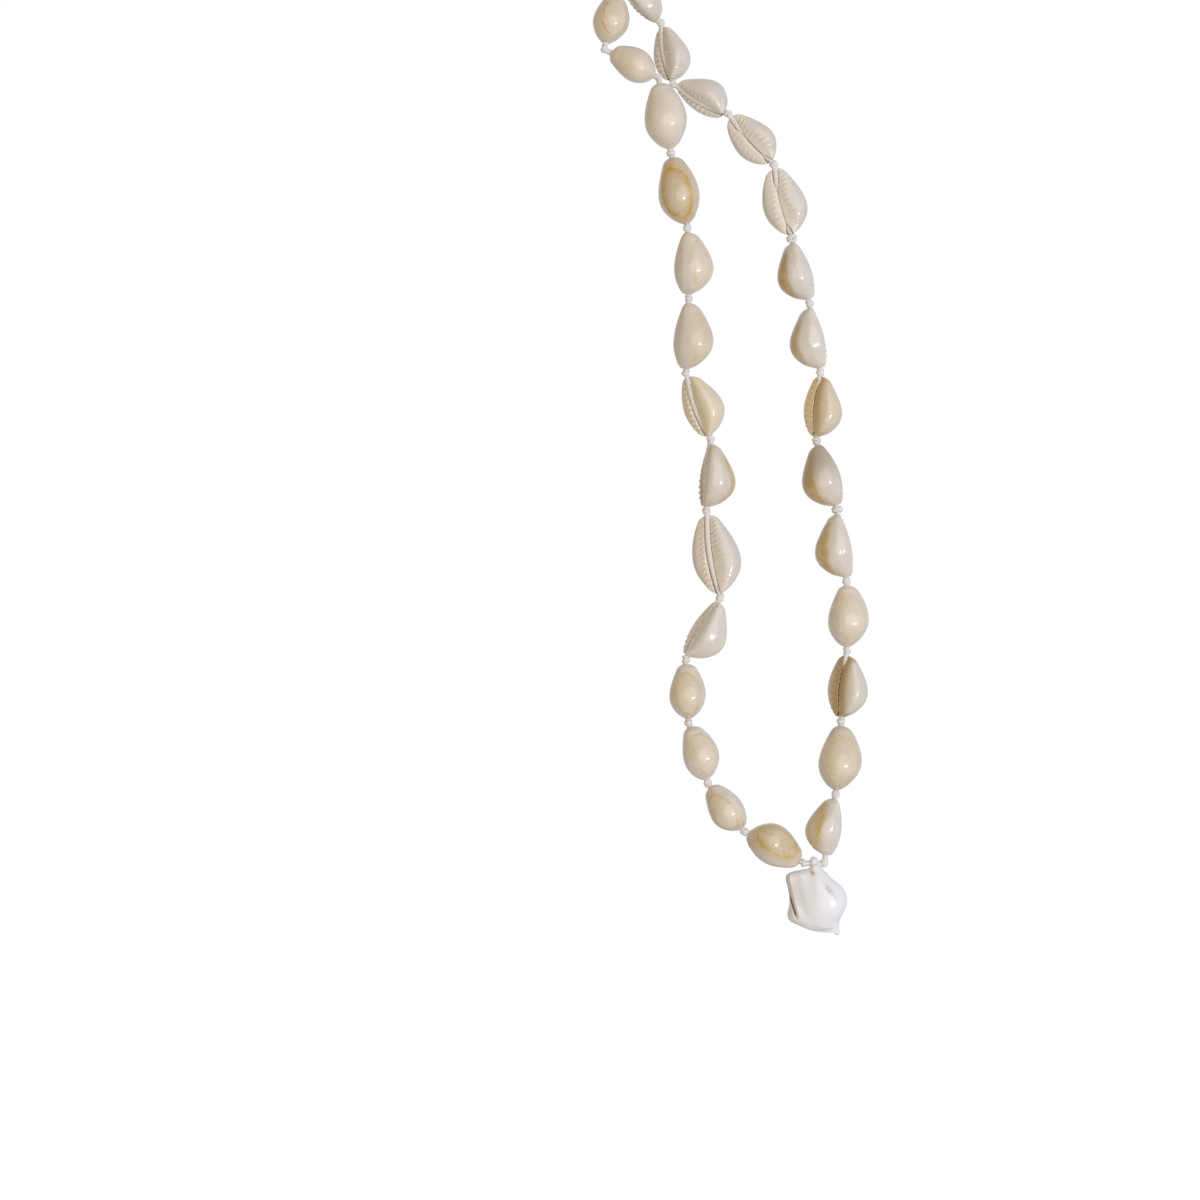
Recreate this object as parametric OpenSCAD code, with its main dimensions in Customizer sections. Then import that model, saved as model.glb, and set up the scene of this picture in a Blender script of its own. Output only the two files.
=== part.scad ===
// Necklace of ring cowries knotted on one closed cord, with a drilled conch shell as a pendant.
// It is stored hanging, with the underside of its top knot at the origin, and is seen along +Y.

/* [Cowries] */
// Width of a cowrie across its base, as a share of its length
cowrie_width_ratio = 0.66; // [0.56:0.01:0.72]
// Height of a cowrie from its base to the top of its back, as a share of its length
cowrie_height_ratio = 0.5; // [0.42:0.01:0.56]
// Smallest distance from a knot's centre to the end of the cowrie beside it
end_gap = 1.7; // [1.6:0.1:2.4]
// Width of the toothed slit along the base
slit_width = 2.6; // [2.3:0.1:3]

/* [Cord] */
// Diameter of the braided cord
cord_d = 1.9; // [1.5:0.1:2]
// Diameter of a knot in the cord
knot_d = 2.8; // [2.4:0.1:2.9]
// Space left between the cord and the shells round it
cord_clearance = 0.25; // [0.15:0.05:0.4]

/* [Pendant] */
// Height of the pendant shell from its drilled tip to its pointed spire
pendant_height = 28.5; // [24:0.5:29]
// Thickness of the pendant shell from front to back, as a share of its drawn depth
pendant_fullness = 1; // [0.8:0.05:1.05]

/* [Hidden] */
// How far the cord's centre lies inside the base at a cowrie's narrow end and at its wide end
cord_depth_narrow = 0.2;
cord_depth_wide = 1.9;
bore_d = cord_d + 2 * cord_clearance;

// Distance from a knot's centre at which the stretches of cord end inside it
cord_inset = 0.17 * knot_d;
// Distance from the top knot's centre at which the tied end stops, a hair short of the knot
tie_start = 0.65 * knot_d;
// Length of a knot as a share of its diameter
knot_length_share = 0.7;

// Half-width and height of a cowrie at its narrow end, and what its wide end adds
tip_half_width = 1.4;
tip_half_width_gain = 0.7;
tip_height = 3.4;
tip_height_gain = 1.1;

// How far the base bulges at the middle of its length
base_bulge = 1.1;

// Share of the length where the slit ends and the drilled hole through the wide end begins
slit_end = 0.82;

// Mesh of a cowrie: sides round it, and its rings as shares of the length
cowrie_sides = 16;
cowrie_rings = [0, 0.015, 0.055, 0.125, 0.22, 0.34, 0.47, 0.6, 0.72, 0.83, 0.915, 0.972, 1];
end_rounding = 0.75;

// The cord's knots from the top down, as [across, away from the viewer, up]
RIGHT_KNOTS = [
    [0, 0, 1.4], [16, 10, -11.5], [20.5, 6, -34.5], [40.5, 2, -46], [57, 0, -64.5],
    [63.5, -1, -91.5], [70, 0, -115], [74, 1, -140], [72.5, 0, -165], [80, -1, -190],
    [83.5, 0, -216], [83.5, 0, -241.5], [81.5, 0, -267], [79.5, 0, -293.5], [75.3, 0, -318.5],
];
LEFT_KNOTS = [
    [0, 0, 1.4], [-4.5, -6, -23.5], [15, -6, -34], [19.5, -5, -61], [25.5, -4, -88],
    [26, -3, -113.5], [25, -2, -140.5], [34, -1, -164.5], [32.5, 0, -190.5], [37.5, -1, -222],
    [25, 0, -244.5], [26, 0, -267.5], [33, -1, -289.5], [46.3, -3, -307], [68, 0, -318.5],
];

// Turn of each cowrie about the cord from the top down: 0 shows its back to the viewer,
// 90 turns the back to the viewer's right, 180 shows the slit, and -90 turns the back to the left
RIGHT_TURNS = [90, 130, 120, 165, 170, -70, -78, 135, -60, -78, 10, 140, 10, -65];
LEFT_TURNS = [15, 0, 0, -10, 45, 45, 135, 100, 160, 110, 0, 20, -20, 25];

// Width of each cowrie against the usual one
RIGHT_WIDTHS = [1, 1.05, 1, 1, 0.97, 1, 1, 1, 1, 1, 1, 1.02, 1, 1.06];
LEFT_WIDTHS = [1.08, 1.04, 0.98, 0.92, 1, 0.92, 1, 1, 0.92, 1, 1, 1, 1, 1.05];

// The one cowrie whose narrow end is the lower one
LEFT_UPSIDE_DOWN = 13;

// Where the pendant shell hangs: the middle of its drilled hole, on the straight stretch of cord
HANG = [71.5, 0, -318.5];

// Sections of the pendant shell from its tip down, drawn for a shell 28.5 mm high:
// drop below the hole, middle across, reach to the right, reach to the left, half depth,
// extra reach of the flared lip, depth of the aperture beside it
PENDANT_SECTIONS = [
    [-2.3, 0.0, 0.7, 0.7, 0.9, 0, 0],
    [-1.2, 0.0, 1.4, 1.3, 1.9, 0, 0],
    [0.3, 0.05, 1.6, 1.4, 2.4, 0, 0],
    [1.8, 0.6, 2.3, 2.0, 3.0, 0, 0],
    [2.8, 1.0, 2.9, 3.0, 3.4, 4.8, 0.2],
    [3.8, 1.3, 3.6, 4.2, 4.1, 6.6, 0.5],
    [5.6, 1.6, 4.9, 5.4, 5.1, 6.4, 0.9],
    [8.5, 2.8, 7.2, 7.0, 6.3, 5.4, 1.2],
    [12.0, 3.4, 8.5, 7.8, 7.0, 4.5, 1.2],
    [15.5, 3.6, 8.35, 8.2, 7.1, 4.3, 1.1],
    [18.5, 3.2, 7.55, 8.6, 6.5, 4.0, 0.8],
    [21.0, 2.4, 7.15, 8.2, 5.2, 2.8, 0.4],
    [22.8, 2.4, 6.85, 6.6, 3.9, 1.0, 0],
    [23.7, 3.4, 5.85, 6.2, 2.9, 0.4, 0],
    [24.3, 4.0, 5.35, 5.6, 2.2, 0, 0],
    [25.0, 5.4, 4.2, 3.8, 1.4, 0, 0],
    [25.4, 8.4, 1.25, 1.3, 1.2, 0, 0],
    [25.9, 8.6, 0.85, 0.85, 0.85, 0, 0],
    [26.2, 8.6, 0.4, 0.4, 0.4, 0, 0],
];
PENDANT_DRAWN_HEIGHT = 28.5;
pendant_sides = 36;
pendant_scale = pendant_height / PENDANT_DRAWN_HEIGHT;

// Bearings round a pendant section, in degrees from the viewer's right by way of the back:
// the lip's edge, its slow rise from the back, its quick fall to the front, and the aperture
lip_bearing = 182;
lip_back_spread = 38;
lip_front_spread = 30;
aperture_bearing = 202;
aperture_spread = 9;

viewer = [0, -1, 0];

function unit(v) = v / norm(v);

// Half of the angle by which the route turns at a knot
function half_turn(before, here, after) =
    acos(unit(here - before) * unit(after - here)) / 2;

// Distance kept from a knot's centre, which grows where the route turns sharply
function gap_at(turn) = max(end_gap, 0.3 + 3.4 * tan(turn));

// Axes of a cowrie that runs from one knot to the next: along the cord, across, and to its back
function cowrie_axes(from, to, turn) =
    let (
        along = unit(to - from),
        facing = unit(viewer - (viewer * along) * along),
        back = facing * cos(turn) + cross(facing, along) * sin(turn)
    )
    [along, cross(back, along), back];

function placed(axes, at) = [
    [axes[0][0], axes[1][0], axes[2][0], at[0]],
    [axes[0][1], axes[1][1], axes[2][1], at[1]],
    [axes[0][2], axes[1][2], axes[2][2], at[2]],
    [0, 0, 0, 1],
];

function sign_of(v) = v < 0 ? -1 : 1;

// Egg outlines over the share t of the length, from 0 at each end to 1 at the fullest place
function swell_across(t) = pow(sin(180 * pow(t, 1.2)), 0.54 + 0.5 * t * t);
function swell_up(t) = pow(sin(180 * pow(t, 1.2)), 0.76 + 0.1 * t);

// One ring of a cowrie: a domed back above its margin and a flattened base below it
function cowrie_ring(t, length, width, height) =
    let (
        round_end = (t == 0 || t == 1) ? end_rounding : 1,
        end_w = tip_half_width + tip_half_width_gain * t,
        end_h = tip_height + tip_height_gain * t,
        w = (end_w + (width / 2 - end_w) * swell_across(t)) * round_end,
        h = end_h + (height - end_h) * swell_up(t),
        margin = 0.32 * h,
        base_drop = margin * round_end + base_bulge * sin(180 * t)
    )
    [for (k = [0:cowrie_sides - 1])
        let (
            a = 360 * k / cowrie_sides,
            c = cos(a),
            s = sin(a),
            upper = s >= 0
        )
        [
            t * length,
            w * sign_of(c) * pow(abs(c), upper ? 1 : 0.6),
            upper ? margin + (h - margin) * s * round_end
                  : margin - base_drop * pow(-s, 0.7),
        ]
    ];

// Faces of a closed solid whose rings all have the same number of points
function skin_faces(rings, sides) = concat(
    [[for (k = [0:sides - 1]) k]],
    [for (r = [0:rings - 2], k = [0:sides - 1], half = [0, 1])
        let (
            a = r * sides + k,
            b = r * sides + (k + 1) % sides
        )
        half == 0 ? [a, a + sides, b] : [b, a + sides, b + sides]
    ],
    [[for (k = [sides - 1:-1:0]) (rings - 1) * sides + k]]
);

module cowrie_body(length, width, height) {
    points = [for (t = cowrie_rings) each cowrie_ring(t, length, width, height)];
    polyhedron(points, skin_faces(len(cowrie_rings), cowrie_sides));
}

// The slit for the cord, open towards the base, ends in a round hole drilled through the wide end
module cord_way(span, length) {
    reach = 10;
    rise = cord_d / 2 + 0.3;
    slit_reach = span - length * (1 - slit_end);
    translate([-reach, -slit_width / 2, -reach]) cube([reach + slit_reach, slit_width, reach + rise]);
    translate([slit_reach, 0, -reach]) cylinder(d = slit_width, h = reach + rise, $fn = 24);
    rotate([0, 90, 0]) cylinder(d = bore_d, h = 2 * span + reach, $fn = 24);
}

// A cowrie strung from one knot to another, with its narrow end at the first
module strung_cowrie(from, to, turn, gap_from, gap_to, width_factor) {
    span = norm(to - from) - gap_to;
    length = span - gap_from;
    tilt = asin((cord_depth_wide - cord_depth_narrow) / length);
    multmatrix(placed(cowrie_axes(from, to, turn), from)) difference() {
        translate([gap_from, 0, -cord_depth_narrow]) rotate([0, tilt, 0])
            cowrie_body(length, length * cowrie_width_ratio * width_factor, length * cowrie_height_ratio);
        cord_way(span, length);
    }
}

function knot_turn(knots, other, i) =
    i == 0 ? half_turn(other[1], knots[0], knots[1])
    : i == len(knots) - 1 ? half_turn(knots[i - 1], knots[i], other[i])
    : half_turn(knots[i - 1], knots[i], knots[i + 1]);

// Cowrie number i of one side, counted from the top
module side_cowrie(knots, other, turns, widths, i, upside_down) {
    upper_gap = gap_at(knot_turn(knots, other, i));
    lower_gap = gap_at(knot_turn(knots, other, i + 1));
    color("ivory")
        if (upside_down)
            strung_cowrie(knots[i + 1], knots[i], -turns[i], lower_gap, upper_gap, widths[i]);
        else
            strung_cowrie(knots[i], knots[i + 1], turns[i], upper_gap, lower_gap, widths[i]);
}

module right_cowrie(i) {
    side_cowrie(RIGHT_KNOTS, LEFT_KNOTS, RIGHT_TURNS, RIGHT_WIDTHS, i, false);
}

module left_cowrie(i) {
    side_cowrie(LEFT_KNOTS, RIGHT_KNOTS, LEFT_TURNS, LEFT_WIDTHS, i, i == LEFT_UPSIDE_DOWN);
}

// A straight stretch of cord, from inside one knot to inside the next
module cord_stretch(from, to, start = cord_inset) {
    along = unit(to - from);
    side = unit(cross(along, viewer));
    multmatrix(placed([side, cross(along, side), along], from + start * along))
        cylinder(d = cord_d, h = norm(to - from) - start - cord_inset, $fn = 24);
}

// A drum-shaped knot that lies along the cord's mean direction at one place on the route
module knot(before, at, after) {
    along = unit(after - before);
    side = unit(cross(along, viewer));
    multmatrix(placed([side, cross(along, side), along], at))
        cylinder(d = knot_d, h = knot_length_share * knot_d, center = true, $fn = 24);
}

// One side's cord below the top knot, with the other side's route for the last knot's direction
module cord_side(knots, other, start) {
    last = len(knots) - 1;
    cord_stretch(knots[0], knots[1], start);
    for (i = [1:last - 1]) {
        cord_stretch(knots[i], knots[i + 1]);
        knot(knots[i - 1], knots[i], knots[i + 1]);
    }
    knot(knots[last - 1], knots[last], other[last]);
}

// The whole loop of cord, with a knot above and below every shell. Its two ends are tied at the
// top knot, where one of them stops a hair short.
module knotted_cord() {
    last = len(RIGHT_KNOTS) - 1;
    color("white") {
        knot(LEFT_KNOTS[1], RIGHT_KNOTS[0], RIGHT_KNOTS[1]);
        cord_side(RIGHT_KNOTS, LEFT_KNOTS, cord_inset);
        cord_side(LEFT_KNOTS, RIGHT_KNOTS, tie_start);
        cord_stretch(LEFT_KNOTS[last], RIGHT_KNOTS[last]);
    }
}

// Distance from a pendant section's middle to its outline at a bearing
function pendant_reach(section, bearing) =
    let (
        half_width = cos(bearing) > 0 ? section[2] : section[3],
        half_depth = section[4] * pendant_fullness,
        body = 1 / sqrt(pow(cos(bearing) / half_width, 2) + pow(sin(bearing) / half_depth, 2)),
        off_lip = bearing - lip_bearing,
        lip = exp(-pow(off_lip / (off_lip < 0 ? lip_back_spread : lip_front_spread), 2)),
        aperture = exp(-pow((bearing - aperture_bearing) / aperture_spread, 2))
    )
    body + section[5] * lip - section[6] * aperture;

module pendant_body() {
    points = [for (i = [len(PENDANT_SECTIONS) - 1:-1:0], k = [0:pendant_sides - 1])
        let (
            section = PENDANT_SECTIONS[i],
            bearing = 360 * k / pendant_sides,
            reach = pendant_reach(section, bearing)
        )
        [section[1] + reach * cos(bearing), reach * sin(bearing), -section[0]]
    ];
    polyhedron(points, skin_faces(len(PENDANT_SECTIONS), pendant_sides));
}

// The conch shell that hangs tip up, drilled from side to side through its tip
module pendant_shell() {
    color("whitesmoke") translate(HANG) difference() {
        scale(pendant_scale) pendant_body();
        translate([-5, 0, 0]) rotate([0, 90, 0]) cylinder(d = bore_d, h = 10, $fn = 24);
    }
}

right_cowrie(0);  // cowrie_right_01
right_cowrie(1);  // cowrie_right_02
right_cowrie(2);  // cowrie_right_03
right_cowrie(3);  // cowrie_right_04
right_cowrie(4);  // cowrie_right_05
right_cowrie(5);  // cowrie_right_06
right_cowrie(6);  // cowrie_right_07
right_cowrie(7);  // cowrie_right_08
right_cowrie(8);  // cowrie_right_09
right_cowrie(9);  // cowrie_right_10
right_cowrie(10);  // cowrie_right_11
right_cowrie(11);  // cowrie_right_12
right_cowrie(12);  // cowrie_right_13
right_cowrie(13);  // cowrie_right_14
left_cowrie(0);  // cowrie_left_01
left_cowrie(1);  // cowrie_left_02
left_cowrie(2);  // cowrie_left_03
left_cowrie(3);  // cowrie_left_04
left_cowrie(4);  // cowrie_left_05
left_cowrie(5);  // cowrie_left_06
left_cowrie(6);  // cowrie_left_07
left_cowrie(7);  // cowrie_left_08
left_cowrie(8);  // cowrie_left_09
left_cowrie(9);  // cowrie_left_10
left_cowrie(10);  // cowrie_left_11
left_cowrie(11);  // cowrie_left_12
left_cowrie(12);  // cowrie_left_13
left_cowrie(13);  // cowrie_left_14
knotted_cord();
pendant_shell();
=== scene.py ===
import math

import bmesh
import bpy
import numpy as np
from mathutils import Matrix, Vector


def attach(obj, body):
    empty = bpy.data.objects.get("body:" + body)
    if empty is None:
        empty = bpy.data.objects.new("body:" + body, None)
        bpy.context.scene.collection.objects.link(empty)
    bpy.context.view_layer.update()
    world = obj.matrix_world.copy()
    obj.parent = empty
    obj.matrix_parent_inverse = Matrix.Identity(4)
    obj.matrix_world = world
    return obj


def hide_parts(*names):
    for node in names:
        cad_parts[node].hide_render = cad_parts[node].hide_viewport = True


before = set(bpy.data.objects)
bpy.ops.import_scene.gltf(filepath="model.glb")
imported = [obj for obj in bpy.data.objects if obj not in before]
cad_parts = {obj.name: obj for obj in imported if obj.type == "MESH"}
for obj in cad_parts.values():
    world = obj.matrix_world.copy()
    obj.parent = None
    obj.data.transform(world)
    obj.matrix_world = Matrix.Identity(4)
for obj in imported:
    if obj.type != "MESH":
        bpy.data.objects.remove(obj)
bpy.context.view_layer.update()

MM = 0.001

# A cowrie's width and height as shares of its length, and in millimetres the smallest gap
# beside a knot, how the gap grows where the cord bends, and how deep the cord lies in the narrow
# and in the wide end, all as in the part's source
WIDTH_RATIO = 0.66
HEIGHT_RATIO = 0.5
END_GAP = 1.7
BENT_GAP = 0.3
BENT_GAP_SLOPE = 3.4
CORD_DEPTH = (0.2, 1.9)

# The cord's knots from the top down, as across, away from the viewer, up
RIGHT_KNOTS = np.array([
    [0, 0, 1.4], [16, 10, -11.5], [20.5, 6, -34.5], [40.5, 2, -46], [57, 0, -64.5],
    [63.5, -1, -91.5], [70, 0, -115], [74, 1, -140], [72.5, 0, -165], [80, -1, -190],
    [83.5, 0, -216], [83.5, 0, -241.5], [81.5, 0, -267], [79.5, 0, -293.5], [75.3, 0, -318.5],
], float)
LEFT_KNOTS = np.array([
    [0, 0, 1.4], [-4.5, -6, -23.5], [15, -6, -34], [19.5, -5, -61], [25.5, -4, -88],
    [26, -3, -113.5], [25, -2, -140.5], [34, -1, -164.5], [32.5, 0, -190.5], [37.5, -1, -222],
    [25, 0, -244.5], [26, 0, -267.5], [33, -1, -289.5], [46.3, -3, -307], [68, 0, -318.5],
], float)
HANG = np.array([71.5, 0, -318.5])

# One row for each cowrie from the top down: turn about the cord in degrees, width factor, how far
# the lips hide the cord, how far the right teeth run on towards the wide end, tan of the flanks,
# tan of the back's top (raised on the shells seen from the side, where it also paints the warm
# shade on their left), strength of the gold ring, and strength of the gold stains
RIGHT_SHELLS = [
    (90, 1.00, 0.0, 0.5, 0.45, 0.25, 0.0, 0.0),
    (130, 1.05, 0.0, 0.6, 0.25, 0.30, 0.0, 0.2),
    (120, 1.00, 0.0, 0.4, 0.10, 0.20, 0.0, 0.0),
    (165, 1.00, 0.9, 0.9, 0.10, 0.20, 0.0, 0.0),
    (170, 0.97, 1.0, 1.0, 0.15, 0.40, 0.0, 0.0),
    (-70, 1.00, 0.6, 0.8, 0.15, 1.60, 0.0, 0.0),
    (-78, 1.00, 0.0, 0.5, 0.10, 0.90, 0.0, 0.0),
    (135, 1.00, 1.0, 0.8, 1.10, 0.50, 0.0, 0.3),
    (-60, 1.00, 0.3, 0.6, 0.40, 1.20, 0.8, 0.5),
    (-78, 1.00, 0.5, 0.6, 0.20, 1.10, 0.1, 0.4),
    (10, 1.00, 0.0, 0.5, 0.25, 0.35, 0.15, 0.1),
    (140, 1.02, 1.0, 0.7, 0.80, 0.60, 0.0, 0.1),
    (10, 1.00, 0.4, 0.5, 0.80, 0.50, 0.18, 0.1),
    (-65, 1.06, 0.5, 0.6, 0.15, 0.70, 0.5, 0.7),
]
LEFT_SHELLS = [
    (15, 1.08, 0.5, 0.5, 0.40, 0.40, 0.65, 0.2),
    (0, 1.04, 0.0, 0.5, 0.30, 0.35, 0.0, 0.1),
    (0, 0.98, 0.0, 0.5, 0.20, 0.25, 0.0, 0.0),
    (-10, 0.92, 0.6, 0.6, 1.00, 0.65, 1.0, 0.9),
    (45, 1.00, 0.0, 0.4, 0.25, 0.35, 0.2, 0.0),
    (45, 0.92, 0.5, 0.4, 0.35, 0.50, 0.1, 0.0),
    (135, 1.00, 0.0, 0.3, 0.25, 0.70, 0.0, 0.2),
    (100, 1.00, 0.0, 0.4, 0.50, 0.80, 0.7, 0.3),
    (160, 0.92, 0.0, 0.3, 0.25, 0.20, 0.0, 0.0),
    (110, 1.00, 0.2, 0.3, 0.15, 0.30, 0.0, 0.0),
    (0, 1.00, 0.5, 0.5, 0.35, 0.45, 0.4, 0.1),
    (20, 1.00, 0.0, 0.5, 0.25, 0.35, 0.3, 0.0),
    (-20, 1.00, 0.5, 0.5, 0.30, 0.40, 0.6, 0.2),
    (25, 1.05, 0.0, 0.5, 0.80, 0.75, 0.6, 0.4),
]

# Index of the one cowrie of the left side whose narrow end is the lower one
UPSIDE_DOWN = 13

# Width of the tan top and its ring on a few cowries against the usual one
CROWN_WIDTHS = {"cowrie_right_06": 0.85, "cowrie_right_07": 0.85, "cowrie_right_09": 0.72}

# Cowries whose thin lips meet over the cord almost from the narrow end on
CLOSED_EARLY = ("cowrie_right_08", "cowrie_right_12")

# Cowries with hardly any teeth on the right lip
SMOOTH_FLANKS = ("cowrie_right_08", "cowrie_right_12", "cowrie_left_07")

# How golden the left and the right half of the base are, on cowries that are golden there
GOLDEN_LIPS = {"cowrie_right_08": (0.85, 0.25), "cowrie_left_07": (0.3, 0.5)}

# How brown the narrow end is, and the shares of the length between which that fades out
BROWN_ENDS = {"cowrie_right_09": 0.6}
BROWN_END_FADE = (0.15, 0.85)

# Knots of the right side that are wider than the others, and by how much
WIDE_KNOTS = {5: 1.5, 8: 1.15, 9: 1.6}

# Detail of a cowrie in millimetres: lobes and heights at its narrow and wide end, rounding of
# its ends and how far it closes in to the cord there, half-width of the slit where it is open,
# closed or shut tight, rounding of its lips by side and its share at the ends, bulge of the base,
# bow of the cord down, where it is bare and where the lips hide it, bow of the slit and the cord
# aside, and the length of a shell for which that is stated.
# Side 1 is the left half seen from the base with the narrow end up, and side -1 the right half.
LOBE = (2.4, 2.2)
TIP_HEIGHT = (3.3, 3.7)
END_ROUND = (1.5, 1.9)
LEAST_CAP = 0.05
SLIT_OPEN = 1.1
SLIT_CLOSED = 0.03
SLIT_SHUT = 0.005
LIP = {1: 0.9, -1: 0.5}
LIP_AT_ENDS = 0.4
BASE_BULGE = 1.1
BOW_DOWN = (1.0, -0.7)
BOW_ASIDE = 0.9
USUAL_LENGTH = 23

# Curves of a cowrie: how far its outline and its back lean to the wide end, with the power of
# each curve, what the power gains and how steeply, the margin's share of the height, and the
# powers that square off the base
OUTLINE_SKEW = {1: 1.1, -1: 1.28}
OUTLINE_POWERS = (0.68, 0.36, 2)
BACK_SKEW = 1.32
BACK_POWERS = (0.8, 0.0, 1)
MARGIN_SHARE = 0.33
BASE_POWER = 0.6
BULGE_POWER = 0.7

# Bead and dip of the back above the margin: height or depth against the width, and its place up
# from the margin and spread in degrees
BEAD = (0.025, 6, 9)
DIP = (0.02, 27, 9)

# Slight unevenness of the back: height against the size, waves along and round, and how far they
# shift with the seed
LUMPS = ((0.012, 3.1, 2, 1), (0.008, 7, -3, 2.3))

# Shares of the length where the lips start to close, are closed, start to part and are apart,
# on a usual cowrie and on one that closes early, and how thin the lips of the latter are
CLOSING = (0.14, 0.42, 0.82, 0.97)
EARLY_CLOSING = (0.03, 0.16, 0.92, 0.97)
EARLY_LIP = 0.16

# The slit's wall in millimetres: how far above the lip it starts, its least rise, and how much
# wider it gets, then the share of its points below the roof, and the roof's height against width
WALL_START = 0.05
WALL_RISE = 0.15
WALL_WIDER = 0.08
WALL_SHARE = 0.4
ROOF_RATIO = 1.1

# Tan top of a back: its centre and half-length as shares of the length, and its half-width as a
# share of the width
CROWN_CENTRE = 0.52
CROWN_HALF_LENGTH = 0.37
CROWN_HALF_WIDTH = 0.34

# Reach of the brown and painted shade beside the slit, points over which the colours of the back
# fade out at the margin, and the strength of the painted shade in the slit where its wall starts
BESIDE_REACH = 3.6
DOME_FADE = 5
CAVE_START = 0.2

# Shift of the noise in the colours from one cowrie to the next, and the first seed of each side
SPOT_SHIFT = np.array([37.0, 11.0, 5.0])
FIRST_SEED = {"right": 1, "left": 20}

# Rings of a cowrie and how much closer they lie at its ends, and the points round half a ring:
# the back, the base near the margin by angle, the base near the slit by its share of the way
# out, the rounded lip, and the slit's wall and roof
RINGS = 150
RING_CROWDING = 0.35
DOME = 11
MARGIN_ANGLES = [0, 9, 19, 30, 42]
BASE_SHARES = [0.76, 0.67, 0.58, 0.50, 0.43, 0.36, 0.30, 0.24, 0.18, 0.12, 0.06]
ROLL = 5
WALL = 5

# Teeth of the two lips, by side: spacing, height, how far from the slit they lie at the narrow
# and the wide end, half their length at both, how far the base sinks beside the slit, and fan.
# Then the power that narrows a ridge.
TEETH = {
    1: (1.9, 0.66, 0.7, 2.1, 0.6, 0.9, 0.0, 0.04),
    -1: (1.65, 0.38, 1.4, 4.0, 1.1, 1.5, 0.7, 0.06),
}
RIDGE_POWER = {1: 1.6, -1: 2.4}

# Shares of the length between which the teeth move out, begin, end, and thin out on the right
TEETH_MOVE_OUT = (0.3, 0.8)
TEETH_BEGIN = (0.02, 0.12)
TEETH_END = (0.9, 0.98)
TEETH_THIN_OUT = (0.4, 0.65)

# Place along a cowrie from which its teeth fan out, their shift with the seed, how uneven they
# are and in what waves, and the height of a ridge at which the base and the edge stay in place
FAN_CENTRE = 0.52
TOOTH_SHIFT = 0.37
UNEVEN_TEETH = 0.2
UNEVEN_WAVES = 0.25
RIDGE_MIDDLE = 0.25
EDGE_MIDDLE = 0.3

# Share of the teeth's height on smooth flanks, and what the left teeth lose and how far out they
# move where the lips hide the cord. Then the strength and reach of teeth at the very edge, what
# these lose where the lips hide the cord, how far the edge waves, and reach of the sunken strip.
SMOOTH_FLANK_TEETH = 0.3
HIDDEN_LOSS = 0.65
HIDDEN_SHIFT = 1.3
EDGE_TEETH = 0.6
EDGE_REACH = 0.6
EDGE_LOSS = 0.5
EDGE_WAVE = 0.16
SINK_REACH = 1.3

# Braid of the cord in millimetres: radius, step along it, points round it, pitch, and the points
# of its route through a shell and between two points of the route. Then the least root of the
# distance between two points, and the direction that its first side vector is square to.
CORD_RADIUS = 1.06
CORD_STEP = 0.32
CORD_SIDES = 18
CORD_PITCH = 2.6
STRETCH_POINTS = 13
FINE_POINTS = 12
LEAST_ROOT = 0.001
FIRST_SIDE = (0.3, 0.9, 0.2)

# Bundles of a braid that run each way, how much lower they are where they pass under, and the
# radius of the braid's core and its relief as shares of the radius
BUNDLES = 4
WEAVE = 0.4
BRAID_CORE = 0.87
BRAID_RELIEF = 0.16

# Distances from a knot between which the cord changes from white to cream where the shells hold it
HELD_FROM = 2.0
HELD_AT = 5.0

# Wraps of a knot in millimetres: turns, half-length along the cord, radius, and start in
# radians, then the radius, points round, points along and pitch of their own braid, how far
# round they start from one knot to the next, how far their fibres shift, the part of a half wave
# that their radius follows, and the direction that their first side vector is square to
KNOT_WRAPS = ((1.45, 1.2, 0.92, 0.0), (-1.15, 1.0, 0.98, 2.6))
WRAP_RADIUS = 0.7
WRAP_SIDES = 12
WRAP_POINTS = 42
WRAP_PITCH = 1.9
KNOT_START = 2.4
FIBRE_SHIFT = 50.0
WRAP_PART = (0.03, 0.97)
KNOT_SIDE = (0.2, 1.0, 0.1)

# Picture: pixels of the photograph, millimetres to a pixel, and the frame's origin in it
PICTURE_PIXELS = 1200
MM_PER_PIXEL = 0.3636
ORIGIN_PIXEL = (617, -13)

# Camera: its distance and the nearest it sees in metres, and width of its sensor in millimetres
CAMERA_DISTANCE = 1.4
CLIP_START = 0.05
SENSOR_WIDTH = 36

# Floor: height and radius in metres, and points round it
FLOOR_HEIGHT = -0.62
FLOOR_RADIUS = 0.7
FLOOR_SIDES = 96

# Lights: name, place and size in metres, power in watts, tint and shape, and where they aim
LIGHTS = (
    ("key", (0.72, -1.15, -0.42), (0.125, 0.2), 2.1, (1.0, 0.99, 0.98), "RECTANGLE"),
    ("second_streak", (0.98, -1.0, -0.40), (0.06, 0.2), 0.7, (1.0, 0.99, 0.98), "RECTANGLE"),
    ("front", (0.5, -1.6, 0.05), (2.4, 2.4), 12.7, (1.0, 0.985, 0.965), "ELLIPSE"),
)
LIGHTS_AIM = (0.045, 0, -0.18)

# Soft light of the room from the left, from the right and from behind the shells, the backdrop
# where the camera looks at it from the front and from elsewhere, and the parts of a direction
# across and away from the viewer between which each changes to the next
ROOM_LEFT = (0.40, 0.31, 0.18, 1.0)
ROOM_RIGHT = (0.54, 0.54, 0.58, 1.0)
ROOM_BEHIND = (0.62, 0.61, 0.60, 1.0)
BACKDROP = (1.0, 1.0, 1.0, 1.0)
BACKDROP_ASIDE = (0.68, 0.69, 0.70, 1.0)
LEFT_TO_RIGHT = (-0.85, 0.8)
SIDES_TO_BEHIND = (0.1, 0.9)
ASIDE_TO_FRONT = (0.0, 0.7)


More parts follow.
